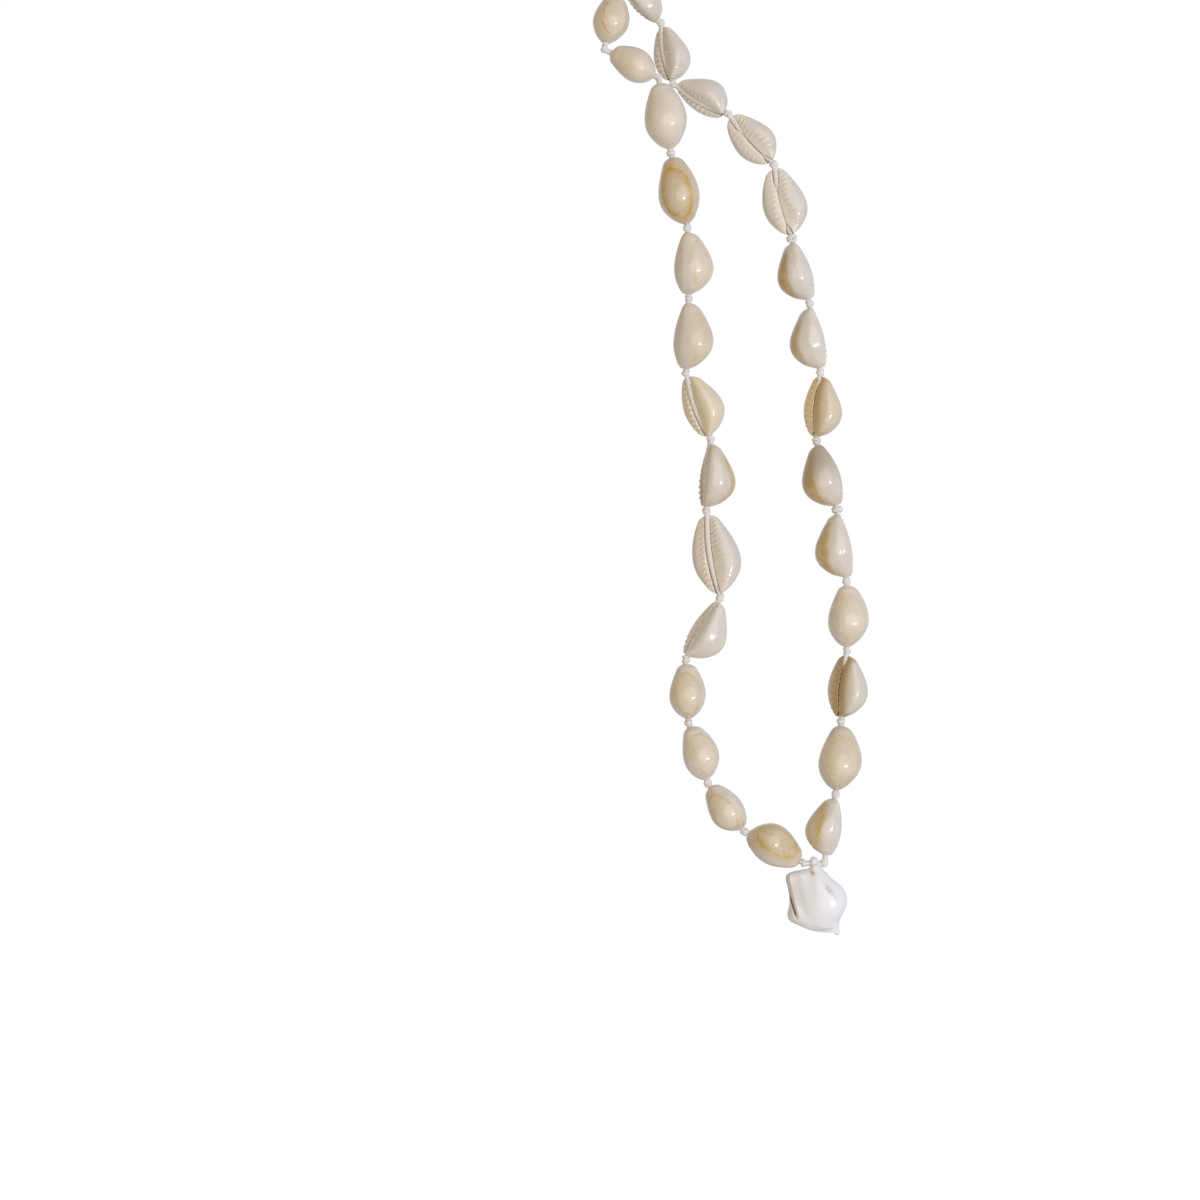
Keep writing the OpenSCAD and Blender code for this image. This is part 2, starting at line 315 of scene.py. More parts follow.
def unit(v):
    """A vector of length 1 in the same direction."""
    return v / np.linalg.norm(v)


def knot_turn(knots, other, i):
    """Half the angle in radians by which the cord turns at a knot, at both ends of a side too."""
    before = other[1] if i == 0 else knots[i - 1]
    after = other[i] if i == len(knots) - 1 else knots[i + 1]
    cosine = float(np.dot(unit(knots[i] - before), unit(after - knots[i])))
    return math.acos(max(-1.0, min(1.0, cosine))) / 2


def gap_at(turn):
    """Distance from a knot's centre to the end of the cowrie beside it."""
    return max(END_GAP, BENT_GAP + BENT_GAP_SLOPE * math.tan(turn))


def cowrie_axes(start, end, turn):
    """Along the cord, across, and to the shell's back, as rows."""
    viewer = np.array([0.0, -1.0, 0.0])
    along = unit(end - start)
    facing = unit(viewer - viewer.dot(along) * along)
    angle = math.radians(turn)
    back = facing * math.cos(angle) + np.cross(facing, along) * math.sin(angle)
    return np.array([along, np.cross(back, along), back])


def strung_shells(side, knots, other, rows):
    """Where each cowrie of one side lies, and how it looks."""
    shells = []
    for i, (turn, factor, hidden, toothed, tone, crown, ring, stain) in enumerate(rows):
        upper, lower = gap_at(knot_turn(knots, other, i)), gap_at(knot_turn(knots, other, i + 1))
        start, end = knots[i], knots[i + 1]
        flipped = side == "left" and i == UPSIDE_DOWN
        if flipped:
            start, end, upper, lower, turn = end, start, lower, upper, -turn
        length = np.linalg.norm(end - start) - upper - lower
        shells.append({
            "name": f"cowrie_{side}_{i + 1:02d}",
            "start": start,
            "axes": cowrie_axes(start, end, turn),
            "gap": upper,
            "length": length,
            "width": length * WIDTH_RATIO * factor,
            "height": length * HEIGHT_RATIO,
            "flipped": flipped,
            "hidden": hidden,
            "toothed": toothed,
            "look": (tone, ring, stain),
            "crown": crown,
            "seed": i + FIRST_SEED[side],
        })
    return shells


shells = (
    strung_shells("right", RIGHT_KNOTS, LEFT_KNOTS, RIGHT_SHELLS)
    + strung_shells("left", LEFT_KNOTS, RIGHT_KNOTS, LEFT_SHELLS)
)


def between(low, high, share):
    """The value at a share of the way between two others."""
    return low + (high - low) * share


def smooth(low, high, x):
    """A soft step from 0 to 1 between two values."""
    s = np.clip((x - low) / (high - low), 0, 1)
    return s * s * (3 - 2 * s)


def placed(name, data):
    """A new object in the scene."""
    thing = bpy.data.objects.new(name, data)
    bpy.context.scene.collection.objects.link(thing)
    return thing


def mesh_object(name, points, faces, attributes, material):
    """A smooth mesh object from points in millimetres, with named attributes on its points."""
    mesh = bpy.data.meshes.new(name)
    mesh.from_pydata((points * MM).tolist(), [], faces)
    for key, values in attributes.items():
        values = np.asarray(values, float)
        kind = "FLOAT" if values.ndim == 1 else "FLOAT_VECTOR"
        layer = mesh.attributes.new(key, kind, "POINT")
        layer.data.foreach_set("value" if kind == "FLOAT" else "vector", values.ravel())
    mesh.shade_smooth()
    mesh.materials.append(material)
    return placed(name, mesh)


def ring_faces(rings, sides):
    """Quads between rings of points that close on themselves, as rows of indices."""
    r, k = np.meshgrid(np.arange(rings - 1), np.arange(sides), indexing="ij")
    a = r * sides + k
    b = r * sides + (k + 1) % sides
    return np.stack([a, a + sides, b + sides, b], axis=-1).reshape(-1, 4)


def tube_faces(rings, sides):
    """The same quads with a cap on each end, as lists of indices."""
    last = (rings - 1) * sides
    caps = [list(range(sides)), list(range(last + sides - 1, last - 1, -1))]
    return ring_faces(rings, sides).tolist() + caps


def outward(points, faces):
    """Turns the faces so that the mesh's volume is positive."""
    volume = 0.0
    for face in faces:
        a = points[face[0]]
        for i in range(1, len(face) - 1):
            volume += a.dot(np.cross(points[face[i]], points[face[i + 1]]))
    return faces if volume > 0 else [face[::-1] for face in faces]


def swell(t, skew, power, gain, steepness):
    """A curve along a cowrie that is 0 at both ends and 1 at its fullest place."""
    return np.maximum(np.sin(np.pi * t ** skew), 0) ** (power + gain * t ** steepness)


def ridge_at(distance, spread, power=2):
    """A rounded ridge that is 1 on its line and fades out on both sides."""
    return np.exp(-np.abs(distance / spread) ** power)


def bow_down(shell):
    """How far the cord bows towards the base in the middle of a shell."""
    return between(*BOW_DOWN, shell["hidden"])


def bow_aside(t, length):
    """How far the slit and the cord in it bow to the left half of a shell."""
    return BOW_ASIDE * np.sin(np.pi * t) * length / USUAL_LENGTH


def cowrie_side(t, shell, side):
    """Points of one half of every ring from the top of the back round to the roof of the slit.

    The rings' shares of the length come as a column.
    """
    length, seed = shell["length"], shell["seed"]
    fullness = swell(t, OUTLINE_SKEW[side], *OUTLINE_POWERS)
    w = between(between(*LOBE, t), shell["width"] / 2, fullness)
    h = between(between(*TIP_HEIGHT, t), shell["height"], swell(t, BACK_SKEW, *BACK_POWERS))
    margin = MARGIN_SHARE * h
    arch = np.sin(np.pi * t)
    drop = margin + BASE_BULGE * arch
    middle = bow_aside(t, length)
    cord_z = between(*CORD_DEPTH, t) - bow_down(shell) * arch
    from_end = np.minimum(t, 1 - t) * length
    rounding = np.where(t < 0.5, *END_ROUND)
    cap = np.sqrt(1 - (1 - np.clip(from_end / rounding, 0, 1)) ** 2)
    cap = np.maximum(cap, LEAST_CAP)
    early = shell["name"] in CLOSED_EARLY
    closes_from, closed_at, parts_from, parted_at = EARLY_CLOSING if early else CLOSING
    closing = smooth(closes_from, closed_at, t) * (1 - smooth(parts_from, parted_at, t))
    slit = between(SLIT_OPEN, SLIT_SHUT if early else SLIT_CLOSED, shell["hidden"] * closing)
    lip = LIP[side] * between(LIP_AT_ENDS, 1, arch) * (EARLY_LIP if early else 1)
    spacing, tooth_height, near, far, near_half, far_half, sink, fan = TEETH[side]
    if side < 0 and shell["name"] in SMOOTH_FLANKS:
        tooth_height *= SMOOTH_FLANK_TEETH
    if side > 0 and not early:
        tooth_height *= 1 - HIDDEN_LOSS * shell["hidden"]

    lip_y = side * (slit + lip)
    base_z = margin - drop

    # The domed back, from its top down to the margin
    phi = np.radians(np.linspace(90, 0, DOME, endpoint=False))
    degrees = np.degrees(phi)
    bead, dip = (
        size * ridge_at(degrees - place, spread) for size, place, spread in (BEAD, DIP)
    )
    lump = sum(
        size * np.sin(along * t + around * phi + shift * seed)
        for size, along, around, shift in LUMPS
    )
    dome_y = side * w * np.cos(phi) * (1 + bead - dip + lump)
    dome_z = margin + (h - margin) * np.sin(phi) * (1 + lump)
    dome_in_y = middle + side * SLIT_OPEN * np.cos(phi)
    dome_in_z = cord_z + SLIT_OPEN * ROOF_RATIO * np.sin(phi)

    # The base, from the margin in to the lip
    share = np.concatenate([np.cos(np.radians(MARGIN_ANGLES)) ** BASE_POWER, BASE_SHARES])
    e_sine = np.sqrt(1 - share ** (2 / BASE_POWER))
    base_y = between(middle + lip_y, side * w, share)
    flat_z = margin - drop * e_sine ** BULGE_POWER
    base_in_z = between(cord_z, base_z + lip, e_sine)

    # The rounded lip, from the base up into the slit
    a = np.radians(np.linspace(0, 90, ROLL, endpoint=False))
    roll_y = middle + side * (slit + lip - lip * np.sin(a))
    roll_z = base_z + lip * (1 - np.cos(a))

    # Teeth as ridges that fan out from the slit, and the sunken strip beside it
    def carved(y, z):
        """Heights with teeth, and the ridges' shape and relief, for points of the base or lip."""
        reach = np.abs(y - middle) - slit
        moved = smooth(*TEETH_MOVE_OUT, t)
        centre = between(near, far, moved) + HIDDEN_SHIFT * shell["hidden"] * (side > 0)
        half_length = between(near_half, far_half, moved)
        place = (t - FAN_CENTRE) * (1 - fan * reach) * length / spacing + TOOTH_SHIFT * seed
        ridge = (0.5 + 0.5 * np.cos(2 * np.pi * place)) ** RIDGE_POWER[side]
        edge_height = EDGE_TEETH - (0 if early else EDGE_LOSS * shell["hidden"])
        edge = edge_height * ridge_at(reach, EDGE_REACH)
        window = np.maximum(ridge_at(reach - centre, half_length, 3), edge)
        along = smooth(*TEETH_BEGIN, t) * (1 - smooth(*TEETH_END, t))
        if side < 0:
            along = along * between(1, shell["toothed"], smooth(*TEETH_THIN_OUT, t))
        uneven = between(1, np.sin(UNEVEN_WAVES * t * length + 2 * seed), UNEVEN_TEETH)
        relief = window * along * uneven
        sunk = sink * ridge_at(reach, SINK_REACH * (1 + t)) * arch
        return z + sunk - tooth_height * (ridge - RIDGE_MIDDLE) * relief, ridge, relief

    base_z_out, base_ridge, base_relief = carved(base_y, flat_z)
    roll_z_out, roll_ridge, roll_relief = carved(roll_y, roll_z)
    wave = 0.0 if early else EDGE_WAVE
    roll_y = roll_y - side * wave * (roll_ridge - EDGE_MIDDLE) * roll_relief * np.sin(a)

    # The slit's wall, and the half of its roof over the cord
    rise = np.linspace(0, 1, WALL + 1)
    wall_low = roll_z_out[:, -1:] + WALL_START
    deep_z = np.maximum(cord_z, wall_low + WALL_RISE)
    bend = np.clip((rise - WALL_SHARE) / (1 - WALL_SHARE), 0, 1) * np.pi / 2
    low_share = np.clip(rise / WALL_SHARE, 0, 1)
    wall_y = middle + side * between(slit, SLIT_OPEN + WALL_WIDER, low_share) * np.cos(bend)
    wall_z = np.where(
        rise < WALL_SHARE,
        between(wall_low, deep_z, low_share),
        deep_z + SLIT_OPEN * ROOF_RATIO * np.sin(bend),
    )

    # Near both ends the shell closes in to the cord
    tunnel_y = middle + side * SLIT_OPEN
    y = np.hstack([
        between(dome_in_y, dome_y, cap),
        between(tunnel_y, base_y, cap),
        between(tunnel_y, roll_y, cap),
        wall_y,
    ])
    z = np.hstack([
        between(dome_in_z, dome_z, cap),
        between(base_in_z, base_z_out, cap),
        between(base_z + lip, roll_z_out, cap),
        wall_z,
    ])

    # Where the colours of the back go, and the painted shade in the slit, the darker tint and
    # painted shade between the teeth, and the brown and painted shade beside the slit
    dome = np.zeros_like(y)
    dome[:, :DOME] = smooth(0, DOME_FADE, np.arange(DOME, 0, -1))
    painted_cave_shade = np.zeros_like(y)
    painted_cave_shade[:, -WALL:] = np.linspace(CAVE_START, 1, WALL)
    groove_tint_and_shade = np.zeros_like(y)
    roll_start = DOME + len(share)
    groove_tint_and_shade[:, DOME:roll_start] = (1 - base_ridge) * base_relief
    groove_tint_and_shade[:, roll_start:roll_start + ROLL] = (1 - roll_ridge) * roll_relief
    beside = ridge_at(np.abs(y - middle) - slit, BESIDE_REACH, 4) * (1 - dome)
    return y, z, dome, painted_cave_shade, groove_tint_and_shade, beside


def cowrie_piece(shell, material):
    """A ring cowrie with toothed lips round its slit, a notch at each end and a domed back."""
    u = np.linspace(0, 1, RINGS)
    t = np.clip(u - RING_CROWDING * np.sin(2 * np.pi * u) / (2 * np.pi), 0, 1)
    halves = zip(cowrie_side(t[:, None], shell, 1), cowrie_side(t[:, None], shell, -1))
    y, z, dome, painted_cave_shade, groove_tint_and_shade, beside = (
        np.hstack([left, right[:, -2:0:-1]]) for left, right in halves
    )
    sides = y.shape[1]
    x = np.repeat((t * shell["length"])[:, None], sides, axis=1)
    local = np.stack([x, y, z], axis=-1).reshape(-1, 3)

    tilt = math.asin((CORD_DEPTH[1] - CORD_DEPTH[0]) / shell["length"])
    turned = np.stack([
        local[:, 0] * math.cos(tilt) + local[:, 2] * math.sin(tilt) + shell["gap"],
        local[:, 1],
        local[:, 2] * math.cos(tilt) - local[:, 0] * math.sin(tilt) - CORD_DEPTH[0],
    ], axis=-1)
    points = shell["start"] + turned @ shell["axes"]
    faces = outward(points, tube_faces(RINGS, sides))

    crown_width = CROWN_WIDTHS.get(shell["name"], 1.0) * shell["width"]
    plan = np.stack([
        (local[:, 0] / shell["length"] - CROWN_CENTRE) / CROWN_HALF_LENGTH,
        local[:, 1] / (CROWN_HALF_WIDTH * crown_width),
        dome.ravel(),
    ], axis=-1)
    on_left = local[:, 1] > bow_aside(t, shell["length"]).repeat(sides)
    golden_left, golden_right = GOLDEN_LIPS.get(shell["name"], (0.0, 0.0))
    brown_end = BROWN_ENDS.get(shell["name"], 0.0) * (1 - smooth(*BROWN_END_FADE, t))
    attributes = {
        "spot": local + SPOT_SHIFT * shell["seed"],
        "plan": plan,
        "marks": np.stack([painted_cave_shade.ravel(), groove_tint_and_shade.ravel(), beside.ravel()], axis=-1),
        "look": np.tile(np.array(shell["look"]), (len(points), 1)),
        "crown": np.full(len(points), shell["crown"]),
        "golden": np.where(on_left, golden_left, golden_right),
        "brown_end": brown_end.repeat(sides),
    }
    piece = mesh_object(shell["name"] + "_shell", points, faces, attributes, material)
    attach(piece, "strand")
    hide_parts(shell["name"])


# The cord's route through every shell, bowed to lie in the slit
def stretch_points(shell):
    """Points of the cord between two knots, from the one above to the one below."""
    points = []
    for t in np.linspace(0, 1, STRETCH_POINTS):
        local = np.array([
            shell["gap"] + t * shell["length"],
            bow_aside(t, shell["length"]),
            -bow_down(shell) * math.sin(math.pi * t),
        ])
        points.append(shell["start"] + local @ shell["axes"])
    return points[::-1] if shell["flipped"] else points


def cord_route():
    """The closed route from the top knot down the right side and up the left."""
    right = [s for s in shells if "right" in s["name"]]
    left = [s for s in shells if "left" in s["name"]]
    route = [RIGHT_KNOTS[0]]
    for i, shell in enumerate(right):
        route += stretch_points(shell) + [RIGHT_KNOTS[i + 1]]
    route += [HANG]
    for i in range(len(left) - 1, -1, -1):
        route += [LEFT_KNOTS[i + 1]] + stretch_points(left[i])[::-1]
    return np.array(route)


def cubic_point(s, p1, m1, p2, m2):
    """A point at a share of the way between two points with their tangents."""
    return (
        (2 * s ** 3 - 3 * s ** 2 + 1) * p1 + (s ** 3 - 2 * s ** 2 + s) * m1
        + (-2 * s ** 3 + 3 * s ** 2) * p2 + (s ** 3 - s ** 2) * m2
    )


def closed_spline(points, step):
    """Points at an even step along a smooth closed curve through the given ones."""
    fine = []
    count = len(points)
    for i in range(count):
        p0, p1, p2, p3 = (points[(i + k) % count] for k in (-1, 0, 1, 2))
        pairs = ((p0, p1), (p1, p2), (p2, p3))
        d01, d12, d23 = (max(np.linalg.norm(b - a) ** 0.5, LEAST_ROOT) for a, b in pairs)
        m1 = (p2 - p1) + d12 * ((p1 - p0) / d01 - (p2 - p0) / (d01 + d12))
        m2 = (p2 - p1) + d12 * ((p3 - p2) / d23 - (p3 - p1) / (d12 + d23))
        for s in np.linspace(0, 1, FINE_POINTS, endpoint=False):
            fine.append(cubic_point(s, p1, m1, p2, m2))
    fine = np.array(fine + [fine[0]])
    lengths = np.concatenate([[0], np.cumsum(np.linalg.norm(np.diff(fine, axis=0), axis=1))])
    samples = int(lengths[-1] / step)
    where = np.linspace(0, lengths[-1], samples, endpoint=False)
    return np.stack([np.interp(where, lengths, fine[:, k]) for k in range(3)], axis=-1)


def carried_frames(path, closed):
    """A tangent and a side vector for each point of a path, turning as little as they can."""
    after = np.roll(path, -1, axis=0) - path
    if not closed:
        after[-1] = after[-2]
    tangents = after / np.linalg.norm(after, axis=1)[:, None]
    side = np.cross(tangents[0], FIRST_SIDE)
    sides = []
    for tangent in tangents:
        side = unit(side - side.dot(tangent) * tangent)
        sides.append(side)
    return tangents, np.array(sides)


def braid(path, closed, radius, sides, pitch, twist=0.0):
    """A braided tube's points: two families of bundles that cross over and under each other."""
    tangents, across = carried_frames(path, closed)
    up = np.cross(tangents, across)
    run = np.concatenate([[0], np.cumsum(np.linalg.norm(np.diff(path, axis=0), axis=1))])
    angle = np.arange(sides) * 2 * np.pi / sides
    phase = 2 * np.pi * run[:, None] / pitch
    right_bundles = 0.5 + 0.5 * np.cos(BUNDLES * (angle + twist) + phase)
    left_bundles = 0.5 + 0.5 * np.cos(BUNDLES * (angle + twist) - phase)
    over = WEAVE * (0.5 + 0.5 * np.sin(BUNDLES * angle) * np.sin(phase))
    height = np.maximum(right_bundles * (1 - WEAVE + over), left_bundles * (1 - over))
    reach = radius * (BRAID_CORE + BRAID_RELIEF * height)
    around = np.cos(angle)[..., None] * across[:, None] + np.sin(angle)[..., None] * up[:, None]
    points = path[:, None] + reach[..., None] * around
    strand = np.stack([
        np.broadcast_to(angle * radius, height.shape),
        np.broadcast_to(run[:, None], height.shape),
        height,
    ], axis=-1)
    return points.reshape(-1, 3), strand.reshape(-1, 3)


def knot_points(at, direction, seed, size):
    """Two crossing wraps of cord round a knot's place."""
    direction = unit(direction)
    across = unit(np.cross(direction, KNOT_SIDE))
    up = np.cross(direction, across)
    paths = []
    for turns, lift, radius, offset in KNOT_WRAPS:
        p = np.linspace(0, 1, WRAP_POINTS)
        angle = seed * KNOT_START + offset + 2 * np.pi * turns * p
        out = size * radius * np.sin(np.pi * between(*WRAP_PART, p)) ** 0.5
        rise = lift * (2 * p - 1)
        paths.append(
            at + out[:, None] * (np.cos(angle)[:, None] * across + np.sin(angle)[:, None] * up)
            + rise[:, None] * direction
        )
    return paths


def cord_piece(material):
    """The whole braided cord and its knots, as one mesh of closed tubes."""
    path = closed_spline(cord_route(), CORD_STEP)
    points, strand = braid(path, True, CORD_RADIUS, CORD_SIDES, CORD_PITCH)
    knot_places = np.vstack([RIGHT_KNOTS, LEFT_KNOTS, HANG])
    from_knot = np.linalg.norm(path[:, None] - knot_places, axis=2).min(axis=1)
    held = np.repeat(smooth(HELD_FROM, HELD_AT, from_knot), CORD_SIDES)
    faces = (ring_faces(len(path) + 1, CORD_SIDES) % len(points)).tolist()
    all_points, all_strands = [points], [strand]
    total = len(points)
    knots = [(RIGHT_KNOTS[0], RIGHT_KNOTS[1] - LEFT_KNOTS[1], 1.0)]
    for table, wide in ((RIGHT_KNOTS, WIDE_KNOTS), (LEFT_KNOTS, {})):
        last = len(table) - 1
        for i in range(1, last + 1):
            after = table[i + 1] if i < last else HANG
            knots.append((table[i], after - table[i - 1], wide.get(i, 1.0)))
    for seed, (at, direction, size) in enumerate(knots):
        for wrap in knot_points(at, direction, seed, size):
            tube, tube_strand = braid(wrap, False, WRAP_RADIUS, WRAP_SIDES, WRAP_PITCH, seed)
            faces += [[total + k for k in face] for face in tube_faces(len(wrap), WRAP_SIDES)]
            all_points.append(tube)
            all_strands.append(tube_strand + np.array([0, FIBRE_SHIFT * seed, 0]))
            total += len(tube)
    faces = [face[::-1] for face in faces]
    points = np.vstack(all_points)
    strand = np.vstack(all_strands)
    held = np.concatenate([held, np.zeros(len(points) - len(held))])
    attributes = {"strand": strand, "spot": points, "held": held}
    piece = mesh_object("braided_cord", points, faces, attributes, material)
    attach(piece, "strand")
    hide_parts("knotted_cord")


# The conch's sections from its tip down: drop below the hole, middle across, reach to the
# right, reach to the left, half depth, and extra reach of the flared lip
CONCH_SECTIONS = np.array([
    [-2.3, 0.0, 0.5, 0.5, 0.6, 0],
    [-1.9, 0.0, 1.1, 1.0, 1.4, 0],
    [-1.2, 0.0, 1.5, 1.35, 2.0, 0],
    [0.3, 0.05, 1.6, 1.4, 2.4, 0],
    [1.8, 0.6, 2.3, 2.0, 3.0, 0.3],
    [2.8, 1.0, 2.9, 3.1, 3.4, 4.2],
    [3.8, 1.3, 3.6, 4.2, 4.1, 6.5],
    [5.6, 1.6, 4.9, 5.4, 5.1, 6.4],
    [8.5, 2.8, 7.2, 7.0, 6.3, 5.4],
    [12.0, 3.4, 8.5, 7.8, 7.0, 4.5],
    [15.5, 3.6, 8.35, 8.2, 7.1, 4.3],
    [18.5, 3.2, 7.55, 8.6, 6.5, 4.0],
    [21.0, 2.4, 7.15, 8.2, 5.2, 2.8],
    [22.8, 2.4, 6.85, 6.6, 3.9, 1.0],
    [23.7, 3.4, 5.85, 6.2, 2.9, 0.4],
    [24.3, 4.0, 5.35, 5.6, 2.2, 0],
    [25.0, 5.4, 4.2, 3.8, 1.4, 0],
    [25.4, 8.4, 1.3, 1.6, 1.25, 0],
    [25.9, 8.6, 0.9, 0.9, 0.9, 0],
    [26.2, 8.6, 0.1, 0.1, 0.1, 0],
])

# Spots on the front: across, drop, half-length, half-width, lean in degrees, and strength
CONCH_SPOTS = [
    (-0.7, 3.3, 0.9, 0.55, -35, 1.0),
    (5.4, 9.5, 1.9, 0.8, -50, 1.0),
    (7.7, 12.0, 0.9, 0.45, -20, 0.35),
    (-7.4, 9.6, 0.8, 0.3, -80, 0.5),
    (-5.6, 17.6, 0.7, 0.25, -80, 0.3),
    (0.4, 0.4, 0.7, 0.4, 20, 0.8),
]

# The conch's rings, the points round each, how far these shift to the left in degrees, and the
# bearing at which they lie the widest apart. Bearings run from the right over the back.
CONCH_RINGS = 170
CONCH_SIDES = 260
POINT_SHIFT = 24
SPARSE_AT = 12

# Bearing of the flared lip and its spread towards the back and the front, in degrees
FLARE_AT = 182
FLARE_SPREADS = (38, 30)

# Threads across the conch: height, waves to a millimetre in radians, drops over which they
# begin, and share on the front. Swells: height, and waves round it and to a millimetre of drop.
# Then the sizes of a ring over which both begin, and the least size of a ring.
THREAD_HEIGHT = 0.03
THREAD_WAVES = 9.0
THREADS_BEGIN = (1, 4)
FRONT_THREADS = 0.3
CONCH_SWELLS = ((0.1, 3, 0.25), (0.06, 5, -0.4))
RELIEF_BEGINS = (0.6, 4)
LEAST_REACH = 0.05

# The aperture's narrow line in millimetres: drop at its top, then its curve, slope and place
# across there, drops over which it begins and ends, and the depths at which the front begins
MOUTH_TOP = 2.7
MOUTH_LINE = (0.0045, 0.155, -10.4)
MOUTH_BEGINS = (2.4, 4.2)
MOUTH_ENDS = (18.0, 20.5)
FRONT_FADE = (0.2, -0.8)

# Its groove: depth, half-widths above and below with the drops between which it widens, and
# strengths above and below with the drops between which it deepens
SLOT_DEPTH = 1.0
SLOT_WIDTHS = (0.2, 0.38)
SLOT_WIDENS = (5, 13)
SLOT_STRENGTHS = (0.45, 1)
SLOT_DEEPENS = (5, 11)

# Relief beside that line: distance to its right, spread, and how far it sinks in
CALLUS = (1.05, 0.55, -0.35)
HOLLOW = (3.4, 1.4, 0.35)
OUTER_LIP = (-0.9, 0.5, -0.15)

# Seam of the low spire: drop, slope, across where that drop is measured, half-width and depth,
# and how far across it fades out
SEAM = (24.3, 0.12, 1.6, 0.17, 0.25)
SEAM_FADE = (8.2, 6.4)

# Hole through the tip for the cord in millimetres: radius, length and sides
DRILL_RADIUS = 1.12
DRILL_LENGTH = 9
DRILL_SIDES = 32


def conch_rows():
    """The sections' measures at every ring, one column of rings for each measure."""
    last = len(CONCH_SECTIONS) - 1
    rows = []
    for position in np.linspace(0, last, CONCH_RINGS):
        i = min(int(position), last - 1)
        p0, p1 = CONCH_SECTIONS[max(i - 1, 0)], CONCH_SECTIONS[i]
        p2, p3 = CONCH_SECTIONS[i + 1], CONCH_SECTIONS[min(i + 2, last)]
        rows.append(cubic_point(position - i, p1, (p2 - p0) / 2, p2, (p3 - p1) / 2))
    rows = np.array(rows)
    return [rows[:, i, None] for i in range(rows.shape[1])]


def drill_through(piece):
    """Cuts the hole for the cord through the conch's tip."""
    mesh = bpy.data.meshes.new("drill")
    drill = bmesh.new()
    bmesh.ops.create_cone(
        drill,
        cap_ends=True,
        segments=DRILL_SIDES,
        radius1=DRILL_RADIUS * MM,
        radius2=DRILL_RADIUS * MM,
        depth=DRILL_LENGTH * MM,
    )
    drill.to_mesh(mesh)
    drill.free()
    tool = placed("drill", mesh)
    tool.matrix_world = Matrix.Translation(Vector(HANG * MM)) @ Matrix.Rotation(math.pi / 2, 4, "Y")
    cut = piece.modifiers.new("drilled hole", "BOOLEAN")
    cut.operation = "DIFFERENCE"
    cut.solver = "EXACT"
    cut.object = tool
    bpy.context.view_layer.update()
    graph = bpy.context.evaluated_depsgraph_get()
    drilled = bpy.data.meshes.new_from_object(piece.evaluated_get(graph))
    piece.modifiers.clear()
    piece.data = drilled
    bpy.data.objects.remove(tool)


def conch_piece(material):
    """The conch: a smooth body whorl, a rolled lip beside a narrow aperture, and a low spire."""
    drop, middle, to_right, to_left, deep, lip = conch_rows()
    to_right, to_left, deep = (np.maximum(v, LEAST_REACH) for v in (to_right, to_left, deep))
    lip = np.maximum(lip, 0)
    even = np.arange(CONCH_SIDES) * 360 / CONCH_SIDES
    bearing = np.sort((even + POINT_SHIFT * np.sin(np.radians(even - SPARSE_AT))) % 360)
    b = np.radians(bearing)
    half_width = np.where(np.cos(b) > 0, to_right, to_left)
    body = 1 / np.sqrt((np.cos(b) / half_width) ** 2 + (np.sin(b) / deep) ** 2)
    off = bearing - FLARE_AT
    flare = ridge_at(off, np.where(off < 0, *FLARE_SPREADS))
    threads = THREAD_HEIGHT * np.sin(drop * THREAD_WAVES) * smooth(*THREADS_BEGIN, drop)
    threads = threads * np.where(bearing < 180, 1, FRONT_THREADS)
    swells = sum(
        height * np.sin(around * b + along * drop) for height, around, along in CONCH_SWELLS
    )
    relief = (threads + swells) * smooth(*RELIEF_BEGINS, body)
    reach = np.maximum(body + lip * flare + relief, LEAST_REACH)
    x = middle + reach * np.cos(b)
    y = reach * np.sin(b)
    z = -drop + 0 * b

    # The aperture's narrow line down the left of the front, with the thick inner lip beside it
    from_line = x - np.polyval(MOUTH_LINE, drop - MOUTH_TOP)
    front = smooth(*FRONT_FADE, y)
    mouth = smooth(*MOUTH_BEGINS, drop) * (1 - smooth(*MOUTH_ENDS, drop)) * front
    slot = ridge_at(from_line, between(*SLOT_WIDTHS, smooth(*SLOT_WIDENS, drop)))
    slot = slot * mouth * between(*SLOT_STRENGTHS, smooth(*SLOT_DEEPENS, drop))
    y = y + SLOT_DEPTH * slot
    for place, spread, depth in (CALLUS, HOLLOW, OUTER_LIP):
        y = y + depth * ridge_at(from_line - place, spread) * mouth
    callus = ridge_at(from_line - CALLUS[0], CALLUS[1]) * mouth
    seam_drop, slope, level_at, spread, depth = SEAM
    seam = ridge_at(drop - seam_drop + slope * (x - level_at), spread)
    seam = seam * smooth(*SEAM_FADE, x) * front
    y = y + depth * seam
    local = np.stack([x, y, z], axis=-1).reshape(-1, 3)
    points = HANG + local
    faces = outward(points, tube_faces(CONCH_RINGS, CONCH_SIDES))

    spots = np.zeros_like(x)
    for across, low, long, wide, lean, strength in CONCH_SPOTS:
        angle = math.radians(lean)
        dx, dz = x - across, low - drop
        run = dx * math.cos(angle) + dz * math.sin(angle)
        rise = dz * math.cos(angle) - dx * math.sin(angle)
        spots = np.maximum(spots, strength * ridge_at(run, long) * ridge_at(rise, wide) * front)
    attributes = {
        "spot": local,
        "stain": spots.ravel(),
        "painted_cave_shade": slot.ravel(),
        "callus": callus.ravel(),
        "seam": seam.ravel(),
    }
    piece = mesh_object("conch_shell", points, faces, attributes, material)
    drill_through(piece)
    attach(piece, "pendant")
    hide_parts("pendant_shell")


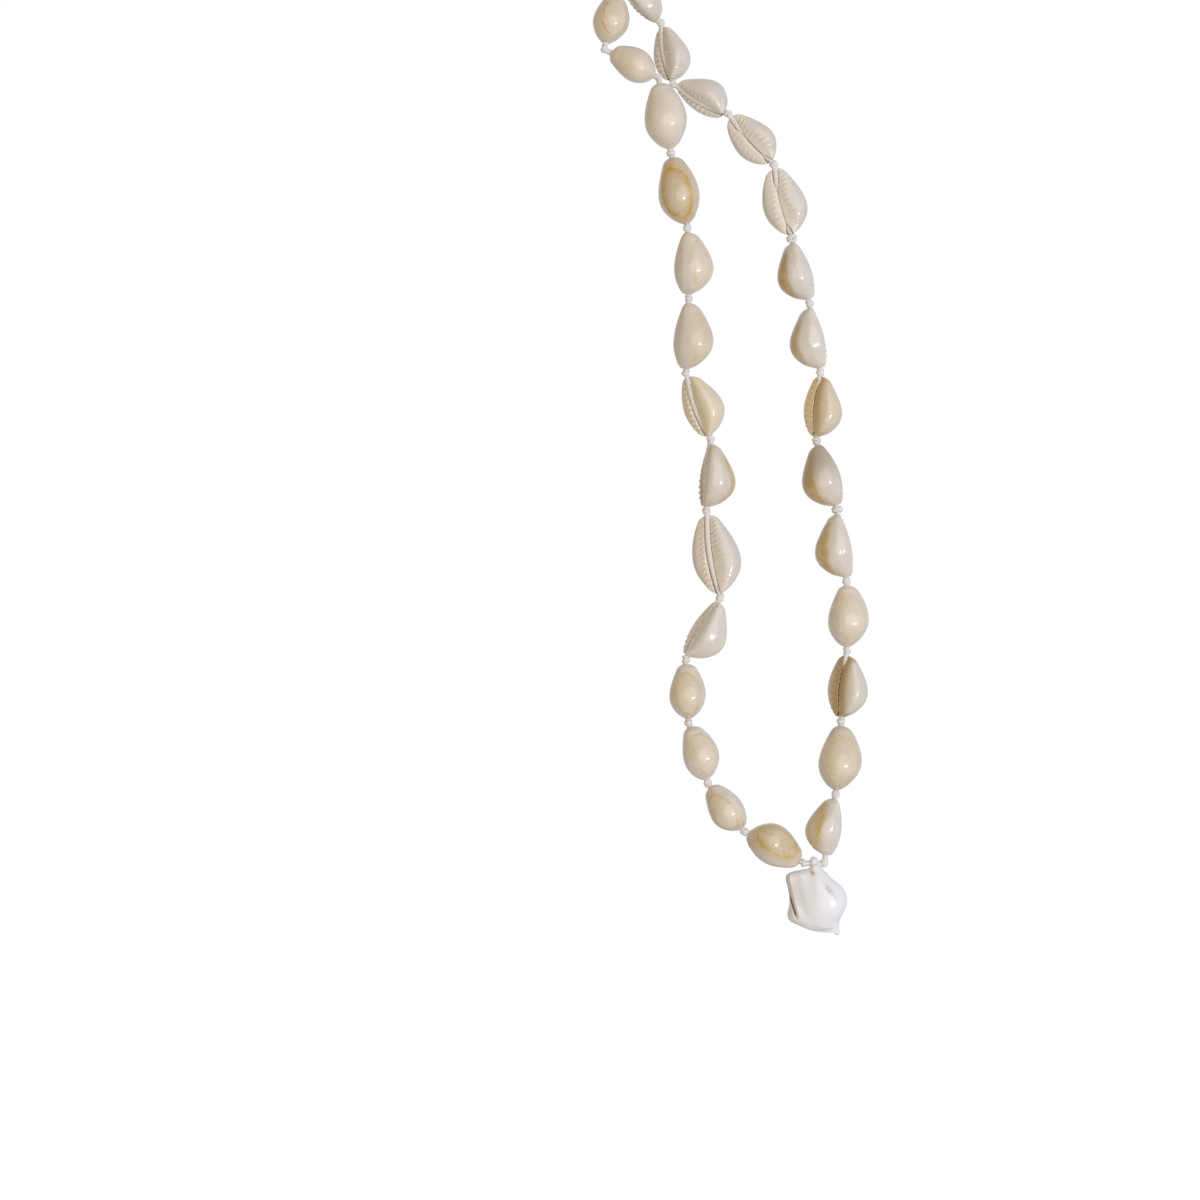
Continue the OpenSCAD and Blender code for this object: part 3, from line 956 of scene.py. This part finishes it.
# Materials. Noise takes its scale and detail, and a span the range that it reads and the range
# that it gives.
class Graph:
    """The nodes of a material or of the world, with short calls for their maths."""

    def __init__(self, owner, shader="Principled BSDF"):
        owner.use_nodes = True
        self.owner = owner
        self.tree = owner.node_tree
        self.shader = self.tree.nodes[shader]

    def put(self, socket, value):
        """Links another socket to this one, or sets its value."""
        if isinstance(value, bpy.types.NodeSocket):
            self.tree.links.new(value, socket)
        else:
            socket.default_value = value

    def node(self, kind, inputs, **settings):
        """A new node with its settings made and its inputs filled."""
        node = self.tree.nodes.new(kind)
        for name, value in settings.items():
            setattr(node, name, value)
        for key, value in inputs.items():
            self.put(node.inputs[key], value)
        return node

    def surface(self, tint, roughness, constants):
        """Fills the shader's own sockets and returns the owner."""
        for name, value in {"Base Color": tint, "Roughness": roughness, **constants}.items():
            self.put(self.shader.inputs[name], value)
        return self.owner

    def attribute(self, name, output="Fac"):
        """A named attribute of the mesh."""
        node = self.node("ShaderNodeAttribute", {}, attribute_type="GEOMETRY", attribute_name=name)
        return node.outputs[output]

    def maths(self, operation, a, b=0.0, clamp=False):
        """One operation on one or two values."""
        node = self.node("ShaderNodeMath", {0: a, 1: b}, operation=operation, use_clamp=clamp)
        return node.outputs[0]

    def times(self, a, b, clamp=False):
        """The product of two values."""
        return self.maths("MULTIPLY", a, b, clamp)

    def span(self, value, low, high, to_low=0.0, to_high=1.0):
        """A soft step of a value from one range to another."""
        inputs = {"Value": value, "From Min": low, "From Max": high}
        inputs.update({"To Min": to_low, "To Max": to_high})
        node = self.node("ShaderNodeMapRange", inputs, interpolation_type="SMOOTHSTEP")
        return node.outputs["Result"]

    def mix(self, factor, a, b):
        """A colour between two others."""
        node = self.node("ShaderNodeMix", {"Factor": factor, "A": a, "B": b}, data_type="RGBA")
        return node.outputs["Result"]

    def noise(self, vector, scale, detail, stretch=None):
        """Cloudy noise from 0 to 1, drawn out along the axes where a stretch is given."""
        if stretch:
            mapping = self.node("ShaderNodeMapping", {"Vector": vector, "Scale": stretch})
            vector = mapping.outputs["Vector"]
        node = self.node("ShaderNodeTexNoise", {"Vector": vector, "Scale": scale, "Detail": detail})
        return node.outputs["Fac"]

    def split(self, vector):
        """The three numbers of a vector."""
        return self.node("ShaderNodeSeparateXYZ", {0: vector}).outputs

    def bump(self, height, strength, distance):
        """Fine relief on the shader's surface, with its distance in metres."""
        inputs = {"Height": height, "Strength": strength, "Distance": distance}
        self.put(self.shader.inputs["Normal"], self.node("ShaderNodeBump", inputs).outputs["Normal"])


IVORY = (0.87, 0.815, 0.73, 1.0)
GREY_IVORY = (0.71, 0.675, 0.645, 1.0)
TAN = (0.62, 0.48, 0.27, 1.0)
DEEP_TAN = (0.50, 0.34, 0.14, 1.0)
LIP_BROWN_AND_PAINTED_SHADE = (0.45, 0.32, 0.15, 1.0)
LIP_GOLD = (0.88, 0.74, 0.46, 1.0)
END_BROWN = (0.38, 0.31, 0.22, 1.0)
STAIN_GOLD = (0.60, 0.38, 0.07, 1.0)
RING_GOLD = (0.58, 0.36, 0.03, 1.0)
SLIT_PAINTED_SHADE = (0.34, 0.25, 0.16, 1.0)
CONCH_WHITE = (0.93, 0.95, 1.0, 1.0)
CONCH_SHADE = (0.85, 0.87, 0.96, 1.0)
CONCH_LEFT_PAINTED_SHADE = (0.82, 0.79, 0.76, 1.0)
CONCH_STREAK = (0.86, 0.85, 0.86, 1.0)
SPOT_BROWN = (0.36, 0.25, 0.10, 1.0)
CALLUS_CREAM = (0.78, 0.71, 0.58, 1.0)
SEAM_GREY = (0.35, 0.31, 0.30, 1.0)
APERTURE_PAINTED_SHADE = (0.16, 0.12, 0.09, 1.0)
THREAD_WHITE = (0.93, 0.93, 0.94, 1.0)
THREAD_GREY = (0.84, 0.82, 0.81, 1.0)
THREAD_PAINTED_SHADE = (0.50, 0.47, 0.49, 1.0)
FIBRE_GREY = (0.66, 0.64, 0.64, 1.0)
HELD_CREAM = (0.82, 0.77, 0.70, 1.0)
FLOOR_PALE = (0.90, 0.90, 0.90, 1.0)
FLOOR_SHADE = (0.86, 0.86, 0.86, 1.0)

# Other values of the three shaders of the piece
COWRIE_GLOSS = {
    "IOR": 1.6,
    "Coat Weight": 0.8,
    "Coat Roughness": 0.03,
    "Subsurface Weight": 0.1,
    "Subsurface Radius": (1.0, 0.7, 0.45),
    "Subsurface Scale": 0.0015,
}
CONCH_GLOSS = {"IOR": 1.6, "Coat Weight": 0.6, "Coat Roughness": 0.07}
THREAD_SHEEN = {"Sheen Weight": 0.35, "Sheen Roughness": 0.4}


def cowrie_material():
    """Glossy cowrie: ivory to tan back, gold ring, whiter margin and teeth, painted shade in the
    slit.
    """
    g = Graph(bpy.data.materials.new("cowrie_gloss"))
    spot = g.attribute("spot", "Vector")
    plan_x, plan_y, dome = g.split(g.attribute("plan", "Vector"))
    tone, ring, stain = g.split(g.attribute("look", "Vector"))
    crown = g.attribute("crown")
    painted_cave_shade, groove_tint_and_shade, beside = g.split(g.attribute("marks", "Vector"))

    cloud = g.noise(spot, 0.16, 4)
    patch = g.noise(spot, 0.45, 3)
    growth = g.noise(spot, 1.0, 3, (0.12, 0.9, 0.9))
    greyed = g.maths("MAXIMUM", g.span(cloud, 0.35, 0.65), g.times(crown, 0.8), True)
    outside = g.mix(greyed, IVORY, GREY_IVORY)
    outside = g.mix(g.times(tone, 0.6), outside, TAN)
    # The tan top: the back's own tan, which on the shells seen from the side also paints the warm
    # shade on their left
    inside = g.mix(g.times(crown, g.span(patch, 0.2, 0.75, 0.65, 1.0), True), IVORY, TAN)
    deep = g.times(g.maths("POWER", crown, 2.0), g.span(cloud, 0.35, 0.6, 0.2, 0.6))
    inside = g.mix(deep, inside, DEEP_TAN)

    # The distance from the middle of the tan top, which is 1 on the gold ring
    wobble = g.times(g.maths("SUBTRACT", g.noise(spot, 0.3, 2), 0.5), 0.35)
    squares = (g.maths("POWER", g.maths("ABSOLUTE", value), 2.0) for value in (plan_x, plan_y))
    radius = g.maths("ADD", g.maths("SQRT", g.maths("ADD", *squares)), wobble)
    within = g.times(g.span(radius, 0.95, 1.3, 1.0, 0.0), dome)
    back = g.mix(within, outside, inside)
    back = g.mix(g.span(growth, 0.45, 0.75, 0.0, 0.25), back, IVORY)
    off = g.maths("ABSOLUTE", g.maths("SUBTRACT", radius, 1.0))
    line = g.span(off, 0.015, 0.07, 1.0, 0.0)
    halo = g.span(off, 0.02, 0.42, 0.75, 0.0)
    uneven = g.times(g.span(g.noise(spot, 0.22, 3), 0.34, 0.58, 0.3, 1.0), dome)
    for place, strength, gold in ((halo, stain, STAIN_GOLD), (line, ring, RING_GOLD)):
        share = g.times(g.times(place, strength), uneven, True)
        back = g.mix(share, back, gold)

    # The base, less grey beside the slit, and browner there on toned shells: partly their own brown,
    # partly painted shade beside the slit
    margin_grey = g.span(patch, 0.3, 0.8, 0.75, 1.0)
    margin_grey = g.maths("SUBTRACT", margin_grey, g.times(beside, 0.65))
    base = g.mix(margin_grey, IVORY, GREY_IVORY)
    base = g.mix(g.times(tone, g.span(tone, 0.8, 1.1, 0.2, 0.38)), base, TAN)
    # Brown beside the slit: partly the shell's own colour, partly painted shade
    base = g.mix(g.times(beside, g.span(tone, 0.1, 0.9), True), base, LIP_BROWN_AND_PAINTED_SHADE)
    base = g.mix(g.attribute("golden"), base, LIP_GOLD)
    shell = g.mix(dome, base, back)
    shell = g.mix(g.attribute("brown_end"), shell, END_BROWN)
    # Between the teeth: their own slightly darker tint and painted shade in the grooves
    shell = g.mix(g.times(groove_tint_and_shade, 0.18), shell, DEEP_TAN)
    # Painted shade deep in the slit
    shell = g.mix(painted_cave_shade, shell, SLIT_PAINTED_SHADE)
    fine = g.maths("ADD", g.noise(spot, 2.2, 5), g.times(growth, 0.6))
    g.bump(fine, 0.06, 0.0003)
    return g.surface(shell, g.span(patch, 0.3, 0.75, 0.12, 0.22), COWRIE_GLOSS)


def conch_material():
    """White porcelain-like conch with tan spots, a yellowish inner lip and a plain back."""
    g = Graph(bpy.data.materials.new("conch_gloss"))
    spot = g.attribute("spot", "Vector")
    cloud = g.noise(spot, 0.14, 4)
    streaks = g.span(g.noise(spot, 1.2, 4, (0.25, 0.25, 1.0)), 0.5, 0.8, 0, 0.25)
    ragged = g.span(g.noise(spot, 1.1, 4), 0.3, 0.6, 0.35, 1.0)
    shell = g.mix(cloud, CONCH_WHITE, CONCH_SHADE)
    # Painted shade on the conch's left side
    shell = g.mix(g.span(g.split(spot)["X"], -9.0, -1.0, 0.7, 0.0), shell, CONCH_LEFT_PAINTED_SHADE)
    shell = g.mix(streaks, shell, CONCH_STREAK)
    shell = g.mix(g.times(g.attribute("stain"), ragged, True), shell, SPOT_BROWN)
    shell = g.mix(g.times(g.attribute("callus"), 0.6), shell, CALLUS_CREAM)
    shell = g.mix(g.times(g.attribute("seam"), 0.55), shell, SEAM_GREY)
    # Painted shade in the aperture's narrow groove
    shell = g.mix(g.attribute("painted_cave_shade"), shell, APERTURE_PAINTED_SHADE)
    threads = g.noise(spot, 3.0, 4, (0.15, 0.15, 1.0))
    g.bump(g.maths("ADD", threads, g.noise(spot, 2.5, 4)), 0.1, 0.0003)
    return g.surface(shell, g.span(cloud, 0.3, 0.7, 0.16, 0.30), CONCH_GLOSS)


def cord_material():
    """White braided thread with fine fibres along its bundles and painted shade between them."""
    g = Graph(bpy.data.materials.new("braided_thread"))
    strand = g.attribute("strand", "Vector")
    height = g.split(strand)["Z"]
    fibre = g.noise(strand, 6.0, 3, (2.5, 0.9, 1.0))
    thread = g.mix(g.noise(g.attribute("spot", "Vector"), 0.2, 3), THREAD_WHITE, THREAD_GREY)
    # Painted shade on the low parts of the braid, between its bundles
    thread = g.mix(g.span(height, 0.05, 0.6, 0.75, 0.0), thread, THREAD_PAINTED_SHADE)
    thread = g.mix(g.span(fibre, 0.35, 0.7, 0.2, 0.0), thread, FIBRE_GREY)
    thread = g.mix(g.times(g.attribute("held"), 0.6), thread, HELD_CREAM)
    g.bump(fibre, 0.35, 0.0002)
    return g.surface(thread, g.span(fibre, 0.2, 0.8, 0.55, 0.8), THREAD_SHEEN)


def floor_material():
    """Plain pale floor with hardly any unevenness."""
    g = Graph(bpy.data.materials.new("pale_floor"))
    spread = g.node("ShaderNodeTexCoord", {}).outputs["Object"]
    pale = g.mix(g.noise(spread, 3.0, 3), FLOOR_PALE, FLOOR_SHADE)
    return g.surface(pale, g.span(g.noise(spread, 20.0, 3), 0.3, 0.7, 0.55, 0.75), {})


# Camera first, then the pieces
camera_data = bpy.data.cameras.new("camera")
camera_data.sensor_width = SENSOR_WIDTH
camera_data.lens = SENSOR_WIDTH * CAMERA_DISTANCE / (PICTURE_PIXELS * MM_PER_PIXEL * MM)
camera_data.clip_start = CLIP_START
camera = placed("camera", camera_data)
camera.location = (
    (PICTURE_PIXELS / 2 - ORIGIN_PIXEL[0]) * MM_PER_PIXEL * MM,
    -CAMERA_DISTANCE,
    (ORIGIN_PIXEL[1] - PICTURE_PIXELS / 2) * MM_PER_PIXEL * MM,
)
camera.rotation_euler = (math.pi / 2, 0, 0)
bpy.context.scene.camera = camera

gloss = cowrie_material()
for shell in shells:
    cowrie_piece(shell, gloss)
cord_piece(cord_material())
conch_piece(conch_material())


# Floor, lights and world
def floor_disc():
    """A round floor well below the shells."""
    angles = [2 * math.pi * k / FLOOR_SIDES for k in range(FLOOR_SIDES)]
    rim = [(FLOOR_RADIUS * math.cos(a), FLOOR_RADIUS * math.sin(a), FLOOR_HEIGHT) for a in angles]
    mesh = bpy.data.meshes.new("floor")
    mesh.from_pydata(rim, [], [list(range(FLOOR_SIDES))])
    mesh.materials.append(floor_material())
    placed("floor", mesh)


def area_light(name, location, size, energy, tint, shape):
    """A soft light that aims at the middle of the shells."""
    data = bpy.data.lights.new(name, "AREA")
    data.shape = shape
    data.size, data.size_y = size
    data.energy = energy
    data.color = tint
    light = placed(name, data)
    light.location = location
    direction = Vector(LIGHTS_AIM) - Vector(location)
    light.rotation_euler = direction.to_track_quat("-Z", "Y").to_euler()


floor_disc()
for light in LIGHTS:
    area_light(*light)

# The room: white where the camera looks past the shells, warm and dim on their left, and
# evenly lit behind them
room = Graph(bpy.data.worlds.new("studio"), "Background")
direction = room.split(room.node("ShaderNodeTexCoord", {}).outputs["Generated"])
glow = room.mix(room.span(direction["X"], *LEFT_TO_RIGHT), ROOM_LEFT, ROOM_RIGHT)
glow = room.mix(room.span(direction["Y"], *SIDES_TO_BEHIND), glow, ROOM_BEHIND)
backdrop = room.mix(room.span(direction["Y"], *ASIDE_TO_FRONT), BACKDROP_ASIDE, BACKDROP)
seen = room.node("ShaderNodeLightPath", {}).outputs["Is Camera Ray"]
room.put(room.shader.inputs["Color"], room.mix(seen, glow, backdrop))
room.shader.inputs["Strength"].default_value = 1.0
bpy.context.scene.world = room.owner
bpy.context.scene.view_settings.view_transform = "Standard"
